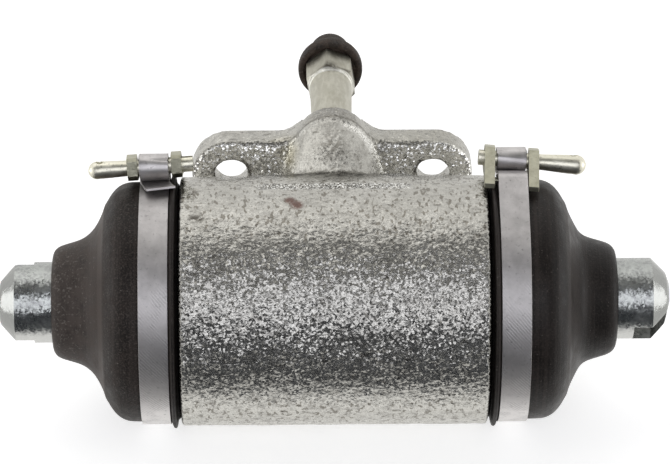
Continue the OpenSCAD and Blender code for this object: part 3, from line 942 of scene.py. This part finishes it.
# %% Yoke and pin zinc
def plated(name, dark, pale, rough):
    made, tree, shader = start_finish(name, 1.0, rough)
    place = millimetres(tree)
    clouds = noise(tree, place, 0.5, 4.0, 0.6)
    specks = noise(tree, place, 2.2, 2.0, 0.5)
    colour = mix(tree, spread(tree, clouds, 0.35, 0.65), dark, pale)
    colour = mix(tree, spread(tree, specks, 0.62, 0.74, 0.0, 0.6), colour, (0.2, 0.19, 0.15))
    tree.links.new(colour, shader.inputs["Base Color"])
    tree.links.new(spread(tree, clouds, 0.3, 0.7, rough - 0.05, rough + 0.07), shader.inputs["Roughness"])
    raise_surface(tree, shader, specks, 0.04)
    return made


yoke_zinc = plated("yoke_zinc", (0.34, 0.33, 0.255), (0.47, 0.46, 0.365), 0.36)
pin_zinc = plated("pin_zinc", (0.7, 0.68, 0.565), (0.83, 0.805, 0.69), 0.37)
for name in SIDES:
    softened(name + "_clamp_yoke", name + "_yoke", "cylinder", yoke_zinc)
    softened(name + "_clamp_pin", name + "_pin", "cylinder", pin_zinc)

# %% [markdown]
# The bleed screw is machined and dipped, so its zinc is duller and warmer than the casting's.
# The ring under its hexagon gets a painted highlight, and painted shade lies on the hexagon just past the
# ring, with a dark smear there.

# %% Screw zinc
screw_zinc, tree, shader = start_finish("screw_zinc", 1.0, 0.42)
place = millimetres(tree)
out = split(tree, place, "Y")
clouds = noise(tree, place, 0.4, 4.0, 0.6)
specks = noise(tree, place, 2.5, 2.0, 0.5)
streak = noise(tree, millimetres(tree, (1, 0.3, 1)), 1.0, 3.0, 0.6)
# Painted highlight on the ring, and painted shade just past it, strongest on the right.
ring = within(tree, out, (20.2, 20.45), (21.2, 20.95))
shade = within(tree, out, (20.9, 21.2), (22.2, 21.6))
shade = times(tree, shade, spread(tree, split(tree, place, "X"), -4.0, 2.5, 0.3, 0.85))
smear = spot(tree, place, (0.2, 21.6, 30.0), 0.6, 2.4)
smear = times(tree, smear, spread(tree, clouds, 0.3, 0.6, 0.4, 1.0))
colour = mix(tree, spread(tree, clouds, 0.35, 0.65), (0.4, 0.385, 0.32), (0.48, 0.465, 0.4))
for mask, paint in (
    (spread(tree, specks, 0.64, 0.76, 0.0, 0.45), (0.25, 0.235, 0.19)),
    (ring, (0.95, 0.94, 0.88)),
    (shade, (0.13, 0.12, 0.095)),
    (smear, (0.09, 0.08, 0.06)),
    (spread(tree, streak, 0.45, 0.65, 0.0, 0.45), (0.62, 0.61, 0.54)),
):
    colour = mix(tree, mask, colour, paint)
tree.links.new(colour, shader.inputs["Base Color"])
tree.links.new(spread(tree, clouds, 0.3, 0.7, 0.36, 0.5), shader.inputs["Roughness"])
raise_surface(tree, shader, specks, 0.04)
softened("bleed_screw", "bleeder", "bleed_screw", screw_zinc)

# %% [markdown]
# Inside the bore, the pistons carry fine rings from the lathe, and the cup expanders are pressed from sheet.

# %% Hidden metals
def hidden_metal(name, dark, pale, rough, ring_scale):
    made, tree, shader = start_finish(name, 1.0, rough)
    place = millimetres(tree)
    clouds = noise(tree, place, 0.3, 3.0, 0.6)
    rings = noise(tree, millimetres(tree, (1, 0.02, 0.02)), ring_scale, 2.0, 0.5)
    tree.links.new(mix(tree, clouds, dark, pale), shader.inputs["Base Color"])
    tree.links.new(spread(tree, clouds, 0.3, 0.7, rough - 0.08, rough + 0.08), shader.inputs["Roughness"])
    raise_surface(tree, shader, rings, 0.02)
    return made


piston_metal = hidden_metal("piston_metal", (0.5, 0.5, 0.5), (0.64, 0.64, 0.63), 0.28, 3.0)
expander_steel = hidden_metal("expander_steel", (0.45, 0.4, 0.28), (0.6, 0.55, 0.4), 0.35, 1.0)
dress(piston_metal, "left_piston", "right_piston")
dress(expander_steel, "left_cup_expander", "right_cup_expander")

# %% [markdown]
# The return spring sits between the pistons and is squeezed when one of them moves in.
# A copy of it is cut in the middle, and each half is kept as a piece of its own.

# %% The return spring
spring_steel = hidden_metal("spring_steel", (0.3, 0.3, 0.31), (0.45, 0.45, 0.46), 0.3, 1.5)
for name, side in SIDES.items():
    bm = merged_mesh("return_spring")
    whole = bm.verts[:] + bm.edges[:] + bm.faces[:]
    cut = bmesh.ops.bisect_plane(bm, geom=whole, plane_co=(0, 0, 0), plane_no=(side, 0, 0), clear_inner=True)
    rim = [part for part in cut["geom_cut"] if isinstance(part, bmesh.types.BMEdge)]
    bmesh.ops.edgenet_fill(bm, edges=rim)
    bmesh.ops.recalc_face_normals(bm, faces=bm.faces)
    half = link_mesh(name + "_spring_half", bm)
    half.data.materials.clear()
    half.data.materials.append(spring_steel)
    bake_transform(half)
    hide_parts("return_spring")
    print(half.name, len(half.data.polygons), "faces,", len(rim), "cut edges")
